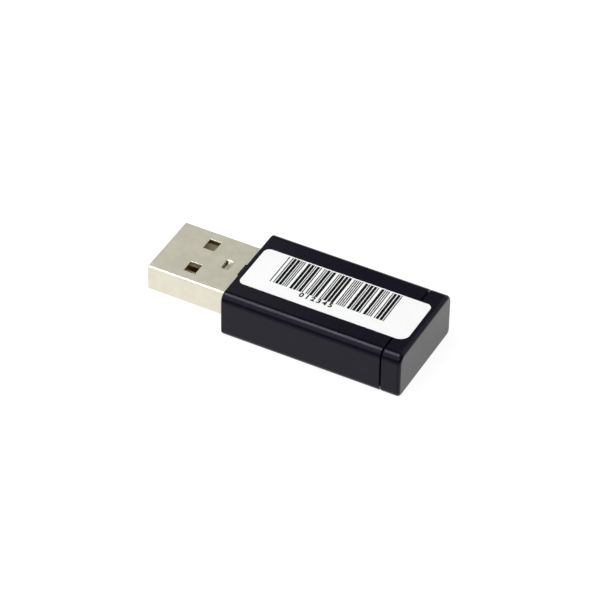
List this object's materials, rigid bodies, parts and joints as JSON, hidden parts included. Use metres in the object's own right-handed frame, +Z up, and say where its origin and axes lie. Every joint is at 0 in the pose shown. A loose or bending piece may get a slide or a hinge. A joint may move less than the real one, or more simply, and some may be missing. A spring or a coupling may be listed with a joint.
{
  "type": "usb wireless network adapter",
  "caption": "Slim USB-A wireless network adapter: metal plug, rectangular moulded sleeve with an end cap, white barcode label on top.",
  "frame": {"origin": "bottom centre of the bounding box, on the surface that the adapter lies on", "axes": "+X from the plug's tip towards the end cap, +Y across the width, +Z up through the labelled face"},
  "size_m": [0.0438, 0.0172, 0.008],
  "materials": {
    "black_plastic": "satin moulded",
    "nickel_shell": "warm nickel plating",
    "ivory_nylon": "moulded",
    "gold_contact": "gold plated",
    "label_film": "printed film",
    "board_laminate": "green solder mask",
    "tinned_steel": "tin plated",
    "copper_track": "bare copper",
    "chip_epoxy": "moulded epoxy",
    "ferrite": "matt",
    "ceramic_chip": "fired ceramic, tinned ends",
    "resistor_film": "black film, tinned ends",
    "fuse_laminate": "green laminate, tinned ends"
  },
  "bodies": {
    "housing": {"housing_sleeve": "black_plastic", "label": "label_film", "usb_shell": "nickel_shell", "plug_insulator": "ivory_nylon", "contact_power": "gold_contact", "contact_data_minus": "gold_contact", "contact_data_plus": "gold_contact", "contact_ground": "gold_contact", "circuit_board": "board_laminate", "shield_frame": "tinned_steel", "shield_cover": "tinned_steel", "antenna_trace": "copper_track", "wifi_chip": "chip_epoxy", "firmware_flash": "chip_epoxy", "esd_array": "chip_epoxy", "voltage_regulator": "chip_epoxy", "crystal": "tinned_steel", "power_inductor": "ferrite", "data_choke": "ferrite", "resettable_fuse": "fuse_laminate", "bulk_capacitor_1": "ceramic_chip", "bulk_capacitor_2": "ceramic_chip", "capacitor_1": "ceramic_chip", "capacitor_2": "ceramic_chip", "capacitor_3": "ceramic_chip", "capacitor_4": "ceramic_chip", "capacitor_5": "ceramic_chip", "capacitor_6": "ceramic_chip", "capacitor_7": "ceramic_chip", "capacitor_8": "ceramic_chip", "resistor_1": "resistor_film", "resistor_2": "resistor_film", "resistor_3": "resistor_film", "resistor_4": "resistor_film"},
    "cap": {"end_cap": "black_plastic"}
  },
  "joints": [
    {"name": "end_cap_pull", "type": "slide", "parent": "housing", "child": "cap", "axis": [1, 0, 0], "range_m": [0, 0.006]}
  ]
}
